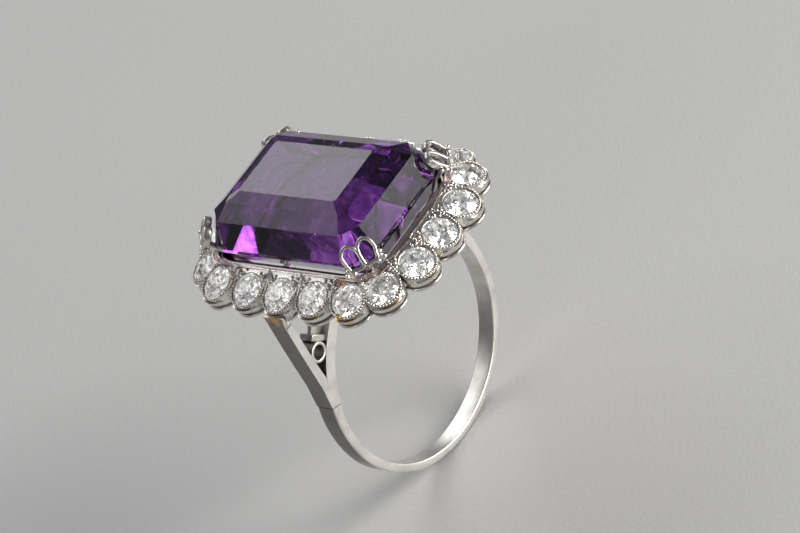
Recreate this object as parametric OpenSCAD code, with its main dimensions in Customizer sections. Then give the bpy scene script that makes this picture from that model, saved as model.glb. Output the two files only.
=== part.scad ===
// Cocktail ring: a step-cut stone in four wire claws, inside a border of round stones in collets,
// on forked shoulders and a plain shank. Millimetres. The origin is the centre of the finger hole,
// +Y runs along the finger, +Z points from the finger to the head, +X from shoulder to shoulder.

/* [Shank] */
// Inner diameter of the finger hole
bore_d = 17.3; // [16.9:0.1:17.7]
// Width of the shank along the finger
band_w = 1.5; // [1.3:0.1:1.8]
// Thickness of the shank under the finger
band_t = 0.62; // [0.5:0.02:0.7]
// Extra thickness that the shank gains at the solder joints
joint_gain = 0.25; // [0.1:0.05:0.35]
// Height of the solder joints above the horizontal, in degrees at the centre of the hole
joint_angle = 17; // [15:1:19]
// Width of the worn bevel along the outer edges
edge_bevel = 0.1; // [0.05:0.01:0.14]

/* [Shoulders] */
// Thickness of the inner arm, which follows the finger
inner_arm_t = 0.94; // [0.8:0.02:1]
// Thickness of the outer arm, which rises to the border
outer_arm_t = 0.62; // [0.5:0.02:0.66]
// Distance of the outer arm's outer face from the centre of the finger
outer_arm_x = 8.96; // [8.9:0.02:9.0]
// Outer diameter of the small tube in the fork
fork_tube_d = 1.54; // [1.4:0.02:1.6]
// Wall of the small tube
fork_tube_wall = 0.24; // [0.18:0.02:0.3]
// Thickness of the bar that bridges the fork
fork_bar_t = 0.4; // [0.3:0.05:0.5]

/* [Centre stone] */
// Width of the centre stone at its girdle, across the finger
stone_w = 10.92; // [10.7:0.02:11]
// Length of the centre stone at its girdle, along the finger
stone_l = 14.92; // [14.6:0.02:15]
// Height of the girdle above the finger hole
girdle_rise = 5.61; // [5.5:0.01:5.7]
// Height of the crown from the girdle to the table
crown_h = 3.08; // [2.8:0.04:3.2]
// Depth of the pavilion under the girdle
pavilion_d = 4.8; // [4.2:0.1:5]
// Cut corner of the girdle, measured along each side
corner_cut = 1.9; // [1.6:0.1:2.1]

/* [Border] */
// Diameter of each round stone
round_d = 2.44; // [2.36:0.02:2.5]
// Outer diameter of a collet at its rim
collet_d = 2.94; // [2.88:0.02:3.0]
// Height of a collet
collet_h = 1.1; // [1:0.02:1.16]
// Outward lean of the collet rims in degrees
collet_lean = 24; // [20:1:28]
// Height of the collet rims above the finger hole
border_rise = 3.85; // [3.8:0.05:3.9]

/* [Claws and gallery] */
// Thickness of the strip that the claw arches are bent from
claw_strip_t = 0.2; // [0.16:0.02:0.26]
// Width of that strip, away from the stone
claw_strip_w = 0.65; // [0.5:0.05:0.8]
// Radius of the stems under the claws
stem_r = 0.3; // [0.24:0.02:0.34]
// Radius of the struts under the long and short sides
strut_r = 0.26; // [0.2:0.02:0.3]
// Radius of the grains soldered beside each claw
grain_r = 0.24; // [0.18:0.02:0.28]
// Thickness of the frame that lies on the finger
finger_rail_t = 0.6; // [0.5:0.05:0.65]

/* [Hidden] */
$fn = 72;
SIDES = ["left", "right"];
BORDER_COUNT = 20;
CLAW_COUNT = 4;
function two_digits(n) = n < 10 ? str("0", n) : str(n);

platinum = [0.80, 0.79, 0.76];
amethyst = [0.38, 0.10, 0.58];
diamond = [0.93, 0.94, 0.95];

bore_r = bore_d / 2;
far = 40;
touch = 0.02;

// Shank: its outer circle sits a little above the centre, so the band thickens towards the joints
band_lift = joint_gain / (1 + sin(joint_angle));
band_outer_r = bore_r + band_t + band_lift;

// Fork: the tube touches both arms, and the bridge lies just above it
inner_arm_r = bore_r + inner_arm_t;
outer_arm_inner_x = outer_arm_x - outer_arm_t;
fork_r = fork_tube_d / 2;
fork_x = outer_arm_inner_x - fork_r + touch;
fork_z = sqrt(pow(inner_arm_r + fork_r - touch, 2) - pow(fork_x, 2));
fork_angle = atan2(fork_z, fork_x);

// Finger rail: a flat frame just clear of the finger, half sizes
rail_x = 4.2;
rail_y = 5.4;
rail_wall = 0.7;
rail_cut = 1.0;
rail_z = bore_r + 0.1;
rail_top_z = rail_z + finger_rail_t;

// Levels
girdle_z = bore_r + girdle_rise;
border_z = bore_r + border_rise;
girdle_t = 0.3;
frame_top_z = girdle_z - 1.04;
mouth_x = stone_w / 2 + 0.16;
mouth_y = stone_l / 2 + 0.34;
lower_rail_top_z = border_z - 1.3;
lower_rail_t = 0.25;
arm_top_z = border_z - 0.95;

// Thickness of a plate that only marks a level inside a hull
level_t = 0.02;

// Border layout: the middle of each side stands out a little further than its ends
long_x = 7.4;
long_step = 3.1;
long_bow = 0.09;
short_y = 9.78;
short_step = 2.92;
short_bow = 0.12;
corner_x = 5.62;
corner_y = 8.33;

function long_spot(i) = [long_x - long_bow * i * i, i * long_step];
function short_spot(j) = [j * short_step, short_y - short_bow * j * j];
function border_spots() = concat(
    [for (i = [-2:2]) long_spot(i)],
    [[corner_x, corner_y]],
    [for (j = [1:-1:-1]) short_spot(j)],
    [[-corner_x, corner_y]],
    [for (i = [2:-1:-2]) [-long_spot(i).x, long_spot(i).y]],
    [[-corner_x, -corner_y]],
    [for (j = [-1:1]) [short_spot(j).x, -short_spot(j).y]],
    [[corner_x, -corner_y]]
);
SPOTS = border_spots();
function spot(n) = SPOTS[(n + BORDER_COUNT) % BORDER_COUNT];
function is_corner(n) = (n % 10 == 5) || (n % 10 == 9);
function outward(n) = atan2(spot(n - 1).x - spot(n + 1).x, spot(n + 1).y - spot(n - 1).y);

// A rectangle with cut corners or with round corners, by half sizes
function cut_rectangle(x, y, c) = [
    [x, y - c], [x - c, y], [c - x, y], [-x, y - c],
    [-x, c - y], [c - x, -y], [x - c, -y], [x, c - y]
];

function soft_rectangle(x, y, r) = [
    for (q = [[1, 1, 0], [-1, 1, 90], [-1, -1, 180], [1, -1, 270]], k = [0:5])
        [q.x * (x - r) + r * cos(q.z + 18 * k), q.y * (y - r) + r * sin(q.z + 18 * k)]
];

module side(name) {
    if (name == "left") mirror([1, 0, 0]) children();
    else children();
}

// Extrudes an XZ outline along the finger, centred
module along_finger(width) {
    rotate([90, 0, 0]) linear_extrude(height = width, center = true) children();
}

module finger_hole() {
    rotate([90, 0, 0]) cylinder(r = bore_r, h = far, center = true);
}

// Everything on the finger side of the solder joints, or everything on the head side
module below_joints() {
    along_finger(far) polygon([
        [0, 0],
        [far * cos(joint_angle), far * sin(joint_angle)],
        [far, -far], [-far, -far],
        [-far * cos(joint_angle), far * sin(joint_angle)]
    ]);
}

module shank() {
    half = band_w / 2;
    color(platinum) intersection() {
        difference() {
            translate([0, 0, band_lift]) rotate([90, 0, 0]) rotate_extrude($fn = 144)
                polygon([
                    [bore_r - 1, -half], [band_outer_r - edge_bevel, -half],
                    [band_outer_r, edge_bevel - half], [band_outer_r, half - edge_bevel],
                    [band_outer_r - edge_bevel, half], [bore_r - 1, half]
                ]);
            finger_hole();
        }
        below_joints();
    }
}

module inner_arm() {
    color(platinum) difference() {
        rotate([90, 0, 0]) cylinder(r = inner_arm_r, h = band_w, center = true, $fn = 144);
        finger_hole();
        below_joints();
        translate([-far + rail_x - rail_wall, -far, -far]) cube([far, 2 * far, 2 * far]);
        finger_rail();
    }
}

// The outer arm leaves the inner arm at the solder joint, rises upright and ends in a neck
module outer_arm_blank() {
    foot_x = inner_arm_r * cos(joint_angle);
    foot_z = inner_arm_r * sin(joint_angle);
    neck_w = 1.8;
    neck_h = 0.5;
    tip_t = 0.22;
    color(platinum) difference() {
        intersection() {
            along_finger(neck_w) polygon([
                [foot_x, foot_z], [outer_arm_x + 0.07, foot_z + 0.85], [outer_arm_x, foot_z + 1.9],
                [outer_arm_x, arm_top_z - 0.6], [outer_arm_x - 0.06, arm_top_z],
                [outer_arm_x - 0.06 - tip_t, arm_top_z], [outer_arm_inner_x + 0.2, arm_top_z - 0.6],
                [outer_arm_inner_x, arm_top_z - 1.6], [outer_arm_inner_x - 0.1, foot_z + 3.4],
                [foot_x - 1.5, foot_z - 0.2]
            ]);
            rotate([90, 0, 90]) linear_extrude(height = far) polygon([
                [-band_w / 2, 0], [band_w / 2, 0], [band_w / 2, arm_top_z - neck_h],
                [neck_w / 2, arm_top_z], [-neck_w / 2, arm_top_z], [-band_w / 2, arm_top_z - neck_h]
            ]);
        }
        rotate([90, 0, 0]) cylinder(r = inner_arm_r, h = far, center = true, $fn = 144);
        below_joints();
    }
}

module outer_arm() {
    color(platinum) difference() {
        outer_arm_blank();
        collet_blank(2);
    }
}

module fork_tube() {
    color(platinum) translate([fork_x, 0, fork_z]) rotate([90, 0, 0]) difference() {
        cylinder(r = fork_r, h = band_w - 0.1, center = true, $fn = 48);
        cylinder(r = fork_r - fork_tube_wall, h = far, center = true, $fn = 48);
    }
}

// A bar across the fork above the tube, with an upright that stands on the inner arm
module fork_bridge() {
    bar_w = band_w - 0.3;
    bar_z = fork_r - touch;
    upright_w = 0.34;
    upright_out = 0.35;
    upright_l = 3.2;
    inner_end_x = 5.4;
    reach = 2;
    color(platinum) difference() {
        translate([fork_x, 0, fork_z]) rotate([0, -fork_angle, 0]) {
            translate([-reach, -bar_w / 2, bar_z]) cube([2 * reach, bar_w, fork_bar_t]);
            translate([-reach, -upright_w / 2, bar_z]) cube([reach + upright_out, upright_w, upright_l]);
        }
        rotate([90, 0, 0]) cylinder(r = inner_arm_r, h = far, center = true, $fn = 144);
        translate([outer_arm_inner_x, -far / 2, 0]) cube([far, far, far]);
        for (n = [1:3]) collet_blank(n);
        stone_frame_blank();
        translate([inner_end_x - far, -far / 2, 0]) cube([far, far, far]);
    }
}

// The frame that lies on the finger under the head
module finger_rail() {
    color(platinum) translate([0, 0, rail_z]) linear_extrude(height = finger_rail_t) difference() {
        polygon(cut_rectangle(rail_x, rail_y, rail_cut));
        polygon(cut_rectangle(rail_x - rail_wall, rail_y - rail_wall, rail_cut * 0.8));
    }
}

// A round bar between two points
module strut(from, to, r) {
    v = to - from;
    translate(from) rotate([0, acos(v.z / norm(v)), atan2(v.y, v.x)])
        cylinder(r = r, h = norm(v), $fn = 32);
}

module gallery_struts() {
    foot_in = rail_wall / 2;
    foot_z = rail_top_z - touch;
    head_z = border_z + 0.05;
    head_x = 5.45;
    head_y = 7.7;
    color(platinum) {
        for (sx = [-1, 1], sy = [-1, 1])
            strut([sx * (rail_x - foot_in), sy * 2.4, foot_z], [sx * head_x, sy * 2.7, head_z], strut_r);
        for (sy = [-1, 1])
            strut([0, sy * (rail_y - foot_in), foot_z], [0, sy * head_y, head_z], strut_r);
    }
}

// One level of the stone frame, by half sizes
module frame_level(z, x, y, r) {
    translate([0, 0, z]) linear_extrude(height = level_t) polygon(soft_rectangle(x, y, r));
}

// The frame round the stone: a sloping flange inside the border, thin at the top
module stone_frame_blank() {
    outer_x = 5.9;
    outer_y = 8.25;
    outer_r = 2.1;
    undercut = 0.35;
    hull() {
        frame_level(border_z - 0.1, outer_x - undercut, outer_y - undercut, outer_r);
        frame_level(border_z + 0.55, outer_x, outer_y, outer_r);
        frame_level(frame_top_z, mouth_x, mouth_y, corner_cut + 0.1);
    }
}

module stone_frame() {
    lip = 0.1;
    seat_x = stone_w / 2 - 1.04;
    seat_y = stone_l / 2 - 0.94;
    color(platinum) difference() {
        stone_frame_blank();
        hull() {
            frame_level(border_z - 0.2, seat_x, seat_y, corner_cut * 0.7);
            frame_level(frame_top_z + level_t, mouth_x - lip, mouth_y - lip, corner_cut);
        }
        for (k = [1:CLAW_COUNT]) claw_stem(k);
    }
}

// Everything beyond the middle line between one collet and its two neighbours, less a hair
module border_wedge(n, gap) {
    for (m = [n - 1, n + 1]) {
        middle = (spot(n) + spot(m)) / 2;
        toward = spot(m) - spot(n);
        translate([middle.x, middle.y, 0]) rotate([0, 0, atan2(toward.y, toward.x)])
            translate([-gap / 2, -far / 2, 0]) cube([far, far, far]);
    }
}

module at_spot(n) {
    translate([spot(n).x, spot(n).y, border_z]) rotate([0, 0, outward(n)]) children();
}

module collet_place(n) {
    at_spot(n) rotate([0, collet_lean, 0]) children();
}

// The outside of one collet: a wall from the leaning rim to the level foot, and a square apron towards
// the centre stone
module collet_blank(n) {
    top_r = collet_d / 2;
    foot_r = top_r - 0.05;
    foot_in = 0.05;
    apron_l = is_corner(n) ? 0.95 : 1.75;
    apron_t = 0.55;
    apron_w = 2 * top_r + 0.4;
    rim = 0.06;
    hull() {
        collet_place(n) cylinder(r = top_r, h = rim, $fn = 64);
        at_spot(n) translate([-foot_in, 0, -collet_h]) cylinder(r = foot_r, h = level_t, $fn = 64);
    }
    collet_place(n) translate([-apron_l, -apron_w / 2, -apron_t])
        cube([apron_l, apron_w, apron_t + rim - 0.02]);
}

module collet(n) {
    seat_r = round_d / 2 + 0.02;
    seat_h = 0.86;
    open_r = 0.7;
    color(platinum) difference() {
        collet_blank(n);
        collet_place(n) {
            translate([0, 0, -0.06]) cylinder(r = seat_r, h = 1, $fn = 64);
            translate([0, 0, -0.9]) cylinder(r1 = open_r, r2 = seat_r, h = seat_h, $fn = 64);
            translate([0, 0, -3]) cylinder(r = open_r, h = 4, $fn = 48);
        }
        border_wedge(n, 0.01);
        stone_frame_blank();
        for (k = [1:CLAW_COUNT]) claw_stem(k);
    }
}

// A round old-cut stone: crown, thin girdle and pavilion
module round_stone(n) {
    round_r = round_d / 2;
    crown = 0.38;
    depth = 1.0;
    table_r = round_r * 0.5;
    color(diamond) collet_place(n) rotate_extrude($fn = 48) polygon([
        [0, crown], [table_r, crown], [round_r, 0], [round_r, -0.05], [0.1, -depth], [0, -depth]
    ]);
}

// The scalloped rail under the collets, let into the outer arms
module lower_rail() {
    outer_r = 1.38;
    inner_r = 1.0;
    inset = 0.05;
    middle_in = 0.97;
    at = [for (n = [0:BORDER_COUNT - 1]) spot(n) - inset * [cos(outward(n)), sin(outward(n))]];
    color(platinum) difference() {
        translate([0, 0, lower_rail_top_z - lower_rail_t]) linear_extrude(height = lower_rail_t)
            difference() {
                union() {
                    for (p = at) translate(p) circle(r = outer_r, $fn = 48);
                    polygon(at);
                }
                for (p = at) translate(p) circle(r = inner_r, $fn = 48);
                polygon(at * middle_in);
            }
        for (s = SIDES) side(s) outer_arm_blank();
    }
}

function claw_sign(k) = [[1, 1], [-1, 1], [-1, -1], [1, -1]][k - 1];

// Where a claw springs from, and how it turns and leans over the stone's corner
claw_foot = [5.13, 7.85];
claw_foot_z = girdle_z - 0.01;
claw_turn = 52;
claw_lean = 33;

module claw_frame(k) {
    s = claw_sign(k);
    translate([s.x * claw_foot.x, s.y * claw_foot.y, claw_foot_z])
        rotate([0, 0, (s.x > 0 ? 0 : 180) + s.x * s.y * claw_turn])
            rotate([0, -claw_lean, 0]) children();
}

// One open arch of a claw, with its inner leg on the middle line
module claw_arch() {
    half = 0.64;
    spring_h = 1.12;
    foot_y = 1.03;
    inner = half - claw_strip_t;
    difference() {
        union() {
            translate([half, spring_h]) circle(r = half, $fn = 40);
            polygon([[-0.02, 0], [foot_y, 0], [2 * half, spring_h], [-0.02, spring_h]]);
        }
        translate([half, spring_h]) circle(r = inner, $fn = 40);
        polygon([
            [claw_strip_t * 0.6, claw_strip_t], [foot_y - claw_strip_t, claw_strip_t],
            [half + inner, spring_h], [half - inner, spring_h]
        ]);
    }
}

// The stem rises from the finger rail, inside the corner of the stone frame, to the claw's foot
module claw_stem(k) {
    s = claw_sign(k);
    knee = [s.x * 4.62, s.y * 6.9, claw_foot_z - 0.95];
    strut([s.x * (rail_x - 0.65), s.y * (rail_y - 0.6), rail_top_z - touch], knee, stem_r);
    translate(knee) sphere(r = stem_r + 0.02, $fn = 32);
    strut(knee, [s.x * (claw_foot.x - 0.04), s.y * (claw_foot.y - 0.05), claw_foot_z + 0.12], stem_r);
}

module claw(k) {
    color(platinum) difference() {
        union() {
            claw_stem(k);
            claw_frame(k) rotate([90, 0, 90])
                translate([0, 0, -claw_strip_w / 2]) linear_extrude(height = claw_strip_w) {
                    claw_arch();
                    mirror([1, 0, 0]) claw_arch();
                }
        }
        centre_stone_solid();
    }
}

module claw_grains() {
    beside = 1.24;
    color(platinum) for (k = [1:CLAW_COUNT], t = [-1, 1])
        claw_frame(k) translate([0, t * beside, 0.1]) sphere(r = grain_r, $fn = 24);
}

// Step-cut stone: table and two crown steps with cut corners, a girdle with round corners and three
// pavilion steps
module centre_stone_solid() {
    x = stone_w / 2;
    y = stone_l / 2;
    round_steps = [
        [x, y, corner_cut, 0],
        [x, y, corner_cut, -girdle_t],
        [x - 1.1, y - 1.0, corner_cut * 0.7, -pavilion_d * 0.42],
        [x - 2.7, y - 2.5, corner_cut * 0.4, -pavilion_d * 0.76]
    ];
    cut_steps = [
        [x - 2.93, y - 2.86, corner_cut * 0.1, crown_h],
        [x - 2.01, y - 1.76, corner_cut * 0.22, crown_h - 0.38],
        [x - 0.80, y - 0.60, corner_cut * 0.6, crown_h - 1.15],
        [0.06, y - x * 0.9, 0.03, -pavilion_d]
    ];
    translate([0, 0, girdle_z]) hull() {
        for (s = round_steps) translate([0, 0, s[3]]) linear_extrude(height = level_t)
            polygon(soft_rectangle(s[0], s[1], s[2]));
        for (s = cut_steps) translate([0, 0, s[3]]) linear_extrude(height = level_t)
            polygon(cut_rectangle(s[0], s[1], s[2]));
    }
}

module centre_stone() {
    color(amethyst) centre_stone_solid();
}

shank();
finger_rail();
gallery_struts();
stone_frame();
lower_rail();
claw_grains();
centre_stone();
for (s = SIDES) {
    side(s) inner_arm();
    side(s) outer_arm();
    side(s) fork_tube();
    side(s) fork_bridge();
}
for (k = [1:CLAW_COUNT])
    claw(k);
for (n = [1:BORDER_COUNT]) {
    collet(n - 1);
    round_stone(n - 1);
}
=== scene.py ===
"""Looks of the cocktail ring: a violet step-cut stone in wire claws, a border of old-cut stones in beaded
collets, forked shoulders and a plain shank. Everything is in the ring's own frame; sizes are millimetres
until a mesh is made."""
import math
import random

import bmesh
import bpy
from mathutils import Matrix, Quaternion, Vector


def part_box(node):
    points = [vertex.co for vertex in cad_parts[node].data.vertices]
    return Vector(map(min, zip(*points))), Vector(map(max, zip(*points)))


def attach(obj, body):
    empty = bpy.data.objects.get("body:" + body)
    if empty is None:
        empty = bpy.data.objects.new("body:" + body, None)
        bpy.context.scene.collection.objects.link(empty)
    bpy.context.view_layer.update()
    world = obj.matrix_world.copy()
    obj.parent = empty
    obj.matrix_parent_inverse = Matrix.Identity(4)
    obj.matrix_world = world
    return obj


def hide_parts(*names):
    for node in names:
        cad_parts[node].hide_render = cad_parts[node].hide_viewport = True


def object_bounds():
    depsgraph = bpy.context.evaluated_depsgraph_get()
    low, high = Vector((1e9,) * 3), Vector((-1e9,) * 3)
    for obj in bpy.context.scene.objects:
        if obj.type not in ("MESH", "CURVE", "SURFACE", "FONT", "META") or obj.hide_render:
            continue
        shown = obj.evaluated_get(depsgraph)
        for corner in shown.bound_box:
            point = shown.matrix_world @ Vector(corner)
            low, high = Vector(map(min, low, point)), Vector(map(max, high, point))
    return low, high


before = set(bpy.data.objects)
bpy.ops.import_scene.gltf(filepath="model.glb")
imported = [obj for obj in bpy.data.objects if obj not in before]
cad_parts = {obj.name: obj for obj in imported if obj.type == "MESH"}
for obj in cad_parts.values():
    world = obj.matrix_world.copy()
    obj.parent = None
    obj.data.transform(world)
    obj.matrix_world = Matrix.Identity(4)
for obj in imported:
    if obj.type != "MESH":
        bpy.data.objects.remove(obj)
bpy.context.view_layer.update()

MM = 0.001
TURN = 2 * math.pi
RING = "root"
LEFT, RIGHT = -1, 1
dice = random.Random(11)


def top_of(node):
    """Highest point of a frame node, in millimetres."""
    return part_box(node)[1][2] / MM


# ---------------------------------------------------------------- sizes

BORE_R = 8.65
BAND_W = 1.5
BAND_T = 0.62
JOINT_GAIN = 0.25
JOINT_ANGLE = math.radians(17)
BAND_LIFT = JOINT_GAIN / (1 + math.sin(JOINT_ANGLE))
BAND_OUTER_R = BORE_R + BAND_T + BAND_LIFT
SEAM = 0.018 / BORE_R
FLOOR_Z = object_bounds()[0][2] / MM
TINY = 1e-6

INNER_ARM_R = BORE_R + 0.94
OUTER_ARM_X = 8.96
OUTER_ARM_T = 0.62
FORK_TUBE_R = 0.77
FORK_TUBE_WALL = 0.24
SOLDER_LAP = 0.02

GIRDLE_Z = BORE_R + 5.61
BORDER_Z = BORE_R + 3.85
STONE_X = 5.46
STONE_Y = 7.46
CORNER_CUT = 1.9
CROWN_H = 3.08
PAVILION_D = 4.8
GIRDLE_T = 0.3

BORDER_COUNT = 20
ROUND_R = 1.22
COLLET_R = 1.47
COLLET_H = 1.1
COLLET_LEAN = math.radians(24)
APRON_L = 1.75
BEAD_STEP = 0.225


# ---------------------------------------------------------------- mesh helpers

def arc(start, end, steps):
    """Angles from start to end, both included, in radians."""
    return [start + (end - start) * k / steps for k in range(steps + 1)]


def rounded_section(half_a, half_b, radius, steps=3):
    """A rectangle with round corners, as (a, b) points."""
    points = []
    for corner, (sign_a, sign_b) in enumerate([(1, 1), (-1, 1), (-1, -1), (1, -1)]):
        for t in arc(corner * TURN / 4, (corner + 1) * TURN / 4, steps):
            points.append((sign_a * (half_a - radius) + radius * math.cos(t),
                           sign_b * (half_b - radius) + radius * math.sin(t)))
    return points


def smooth_path(points, steps=6):
    """A smooth curve through the points of a closed outline."""
    path = []
    count = len(points)
    for k in range(count):
        a, b, c, d = (Vector(points[(k + j) % count]) for j in (-1, 0, 1, 2))
        for t in arc(0, 1, steps)[:-1]:
            path.append(0.5 * ((2 * b) + (c - a) * t + (2 * a - 5 * b + 4 * c - d) * t * t
                               + (3 * b - a - 3 * c + d) * t ** 3))
    return path


def round_section(radius, steps):
    """A circle, as (a, b) points."""
    return [(radius * math.cos(t), radius * math.sin(t)) for t in arc(0, TURN, steps)[:-1]]


def loft(rings, wrap=False):
    """Joins rings that have the same number of points. wrap joins the last ring to the first; without it
    both ends are closed."""
    count = len(rings[0])
    verts = [tuple(p) for ring in rings for p in ring]
    faces = []
    for i in range(len(rings) if wrap else len(rings) - 1):
        j = (i + 1) % len(rings)
        for k in range(count):
            m = (k + 1) % count
            faces.append((i * count + k, i * count + m, j * count + m, j * count + k))
    if not wrap:
        faces.append(tuple(reversed(range(count))))
        faces.append(tuple((len(rings) - 1) * count + k for k in range(count)))
    return verts, faces


def sweep(path, section, side, wrap=False, scale=None):
    """Carries a section along a path that lies roughly in the plane whose normal is side. scale gives the
    section's size at each part of the way, from 0 to 1."""
    points = [Vector(p) for p in path]
    side = Vector(side).normalized()
    rings = []
    for i, p in enumerate(points):
        before = points[i - 1] if i or wrap else p
        after = points[(i + 1) % len(points)] if i < len(points) - 1 or wrap else p
        across = (after - before).cross(side).normalized()
        size = scale(i / (len(points) - 1)) if scale else 1.0
        rings.append([p + across * (a * size) + side * (b * size) for a, b in section])
    return loft(rings, wrap=wrap)


def join(*shells):
    """One mesh from several (verts, faces) shells."""
    verts, faces = [], []
    for v, f in shells:
        base = len(verts)
        verts += v
        faces += [tuple(base + k for k in face) for face in f]
    return verts, faces


def placed(shell, matrix):
    """The shell, moved and turned by a matrix."""
    return [tuple(matrix @ Vector(p)) for p in shell[0]], shell[1]


def mirrored(shell, side):
    """The right-hand piece, or its mirror image for the left side."""
    if side == RIGHT:
        return shell
    return [(-x, y, z) for x, y, z in shell[0]], [tuple(reversed(face)) for face in shell[1]]


def bead(centre, radius, squash=1.0, fineness=2):
    """A small round grain of metal, its height squashed by a factor."""
    shape = bmesh.new()
    bmesh.ops.create_icosphere(shape, subdivisions=fineness, radius=radius)
    verts = [tuple(Vector((v.co.x, v.co.y, v.co.z * squash)) + Vector(centre)) for v in shape.verts]
    faces = [tuple(v.index for v in face.verts) for face in shape.faces]
    shape.free()
    return verts, faces


def new_mesh(name, shell):
    """A mesh in metres from a shell in millimetres."""
    mesh = bpy.data.meshes.new(name)
    mesh.from_pydata([(x * MM, y * MM, z * MM) for x, y, z in shell[0]], [], shell[1])
    return mesh


def piece(name, shell, finish, nodes=(), smooth=40.0, edge=0.0, edge_steps=2):
    """Makes an object from a shell in millimetres, rides it on the ring and hides the nodes it stands for.
    smooth is the sharpest angle that is shaded smooth; edge is the width of a worn edge."""
    mesh = new_mesh(name, shell)
    shape = bmesh.new()
    shape.from_mesh(mesh)
    bmesh.ops.recalc_face_normals(shape, faces=shape.faces)
    shape.to_mesh(mesh)
    shape.free()
    if smooth:
        mesh.polygons.foreach_set("use_smooth", [True] * len(mesh.polygons))
        mesh.set_sharp_from_angle(angle=math.radians(smooth))
    mesh.materials.append(finish)
    thing = bpy.data.objects.new(name, mesh)
    bpy.context.scene.collection.objects.link(thing)
    if edge:
        bevel = thing.modifiers.new("worn_edge", "BEVEL")
        bevel.width = edge * MM
        bevel.segments = edge_steps
        bevel.limit_method = "ANGLE"
        bevel.angle_limit = math.radians(max(smooth, 20.0))
        bevel.harden_normals = False
    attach(thing, RING)
    if nodes:
        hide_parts(*nodes)
    return thing


# ---------------------------------------------------------------- finishes

class Wire:
    """A value inside a material. Arithmetic on it adds Math nodes."""

    def __init__(self, bench, socket):
        self.bench = bench
        self.socket = socket

    def operate(self, operation, *others):
        return self.bench.add("ShaderNodeMath", {"operation": operation},
                              {k: v for k, v in enumerate((self,) + others)})

    def __add__(self, other):
        return self.operate("ADD", other)

    __radd__ = __add__

    def __mul__(self, other):
        return self.operate("MULTIPLY", other)

    __rmul__ = __mul__

    def __sub__(self, other):
        return self.operate("SUBTRACT", other)

    def __rsub__(self, other):
        return self * -1.0 + other

    def __pow__(self, other):
        return self.operate("POWER", other)

    def __abs__(self):
        return self.operate("ABSOLUTE")

    def over(self, low, high):
        """0 below low, 1 above high, smooth between; high may be the lower one."""
        return self.bench.add("ShaderNodeMapRange", {"interpolation_type": "SMOOTHSTEP"},
                              {"Value": self, "From Min": low, "From Max": high})


class Bench:
    """One material on the bench: its nodes, and the shader that they feed."""

    def __init__(self, name, **fixed):
        self.material = bpy.data.materials.new(name)
        self.material.use_nodes = True
        self.tree = self.material.node_tree
        self.shader = self.tree.nodes["Principled BSDF"]
        for socket, value in fixed.items():
            self.shader.inputs[socket.replace("_", " ")].default_value = value

    def add(self, kind, settings=None, sockets=None, output=0):
        """Adds a node with its settings and its sockets' values, and gives the wire from one output."""
        node = self.tree.nodes.new(kind)
        for name, value in (settings or {}).items():
            setattr(node, name, value)
        for name, value in (sockets or {}).items():
            self.plug(node.inputs[name], value)
        return Wire(self, node.outputs[output])

    def plug(self, socket, value):
        """Links a wire to a socket, or sets the socket to a value."""
        if isinstance(value, Wire):
            self.tree.links.new(value.socket, socket)
        else:
            socket.default_value = value

    def feed(self, **links):
        """Plugs the shader's sockets, named with underscores."""
        for name, value in links.items():
            self.plug(self.shader.inputs[name.replace("_", " ")], value)

    def axes(self, vector):
        """The X, Y and Z of a vector."""
        split = self.add("ShaderNodeSeparateXYZ", None, {0: vector})
        return [Wire(self, split.socket.node.outputs[k]) for k in range(3)]

    def place(self, stretch=(1, 1, 1)):
        """Where a point is, in millimetres, each axis scaled by stretch."""
        here = self.add("ShaderNodeTexCoord", output="Object")
        return self.add("ShaderNodeVectorMath", {"operation": "MULTIPLY"},
                        {0: here, 1: tuple(s / MM for s in stretch)})

    def round_place(self, stretch):
        """Place measured round the finger: (along the finger, round it, away from it)."""
        x, y, z = self.axes(self.add("ShaderNodeTexCoord", output="Object"))
        angle = z.operate("ARCTAN2", x)
        away = (x * x + z * z) ** 0.5
        return self.add("ShaderNodeCombineXYZ", None, {
            0: y * (stretch[0] / MM), 1: angle * (BORE_R * stretch[1]), 2: away * (stretch[2] / MM)})

    def grain(self, where, scale, detail=3.0, distortion=0.0):
        """Cloudy noise, about 0.5 on the average."""
        return self.add("ShaderNodeTexNoise", None, {
            "Vector": where, "Scale": scale, "Detail": detail, "Distortion": distortion})

    def spots(self, where, scale):
        """Distance to the nearest of many scattered points."""
        return self.add("ShaderNodeTexVoronoi", None, {"Vector": where, "Scale": scale})

    def blend(self, amount, a, b):
        """Colour a where amount is 0, colour b where it is 1."""
        return self.add("ShaderNodeMix", {"data_type": "RGBA"}, {0: amount, 6: a, 7: b}, output=2)

    def recess(self, reach):
        """1 deep in a corner, 0 in the open."""
        open_sky = self.add("ShaderNodeAmbientOcclusion", {"samples": 6},
                            {"Distance": reach * MM}, output=1)
        return 1.0 - open_sky

    def near(self, centre, reach):
        """1 at a point, falling to 0 at that many millimetres from it."""
        away = self.add("ShaderNodeVectorMath", {"operation": "DISTANCE"},
                        {0: self.place(), 1: centre}, output=1)
        return away.over(reach, reach * 0.25)

    def faces_sideways(self):
        """1 on a face that looks from shoulder to shoulder, 0 on one that looks along the finger or up."""
        facing = self.add("ShaderNodeTexCoord", output="Normal")
        return abs(self.axes(facing)[0])

    def height(self):
        """Height above the finger hole's centre, in millimetres."""
        return self.axes(self.place())[2]

    def away_from_finger(self):
        """Distance from the finger's centre line, in millimetres."""
        return self.add("ShaderNodeVectorMath", {"operation": "LENGTH"},
                        {0: self.place((1, 0, 1))}, output=1)

    def relief(self, height, depth):
        """Bump of that many millimetres."""
        return self.add("ShaderNodeBump", None, {"Height": height, "Distance": depth * MM, "Strength": 1.0})


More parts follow.
